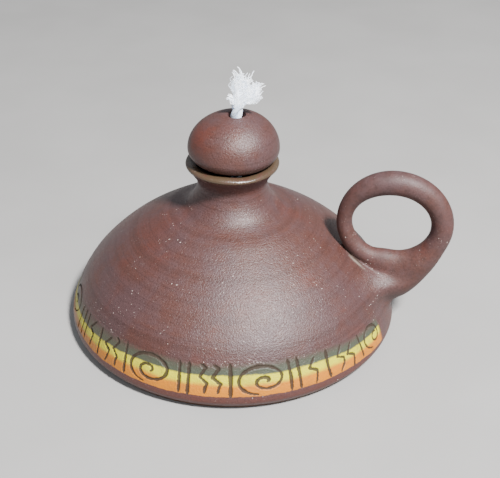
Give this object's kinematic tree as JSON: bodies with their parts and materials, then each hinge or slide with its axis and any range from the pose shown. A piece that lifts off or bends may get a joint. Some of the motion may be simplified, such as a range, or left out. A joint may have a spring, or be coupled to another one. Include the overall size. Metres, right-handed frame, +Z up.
{
  "type": "oil lamp",
  "caption": "Low domed stoneware oil lamp with an incised slip band at the foot, a ring handle, and a ball stopper that holds the wick in a cupped mouth.",
  "frame": {"origin": "centre of the flat foot, on the plane that the lamp stands on", "axes": "+Z up along the axis of the dome, +X from that axis towards the ring handle, +Y to complete a right-handed frame"},
  "size_m": [0.1448, 0.1256, 0.103],
  "materials": {
    "stoneware": "fired reddish brown clay with a soft sheen, a blue, yellow and orange slip band and a clear glaze on the lip",
    "stoneware_ball": "fired reddish brown clay with a soft sheen",
    "wick_cotton": "twisted white cotton"
  },
  "bodies": {
    "root": {"lamp_body": "stoneware", "stopper": "stoneware_ball", "wick": "wick_cotton", "wick_tuft": "wick_cotton"}
  },
  "joints": []
}
